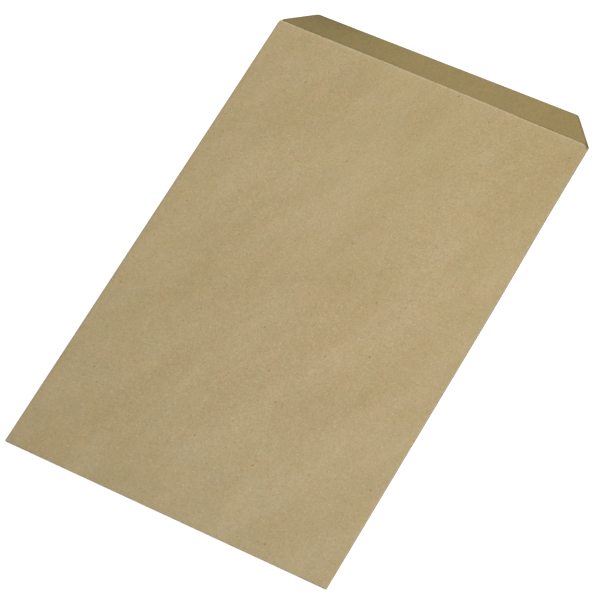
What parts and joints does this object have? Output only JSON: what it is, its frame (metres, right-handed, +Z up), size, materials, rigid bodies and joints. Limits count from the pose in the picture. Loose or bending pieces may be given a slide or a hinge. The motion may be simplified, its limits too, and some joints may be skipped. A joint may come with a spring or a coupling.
{
  "type": "paper envelope",
  "caption": "Plain brown manila pocket envelope, empty, opening at a short side, lying flat with its tapered flap opened out.",
  "frame": {"origin": "middle of the base of the bounding box, on the surface that the envelope lies on", "axes": "+X across the pocket, +Y along it from the bottom fold to the flap, +Z up, out of the back panel"},
  "size_m": [0.254, 0.4, 0.0017],
  "materials": {
    "manila": "uncoated machine-glazed kraft, faintly mottled"
  },
  "bodies": {
    "root": {"envelope": "manila"}
  },
  "joints": []
}
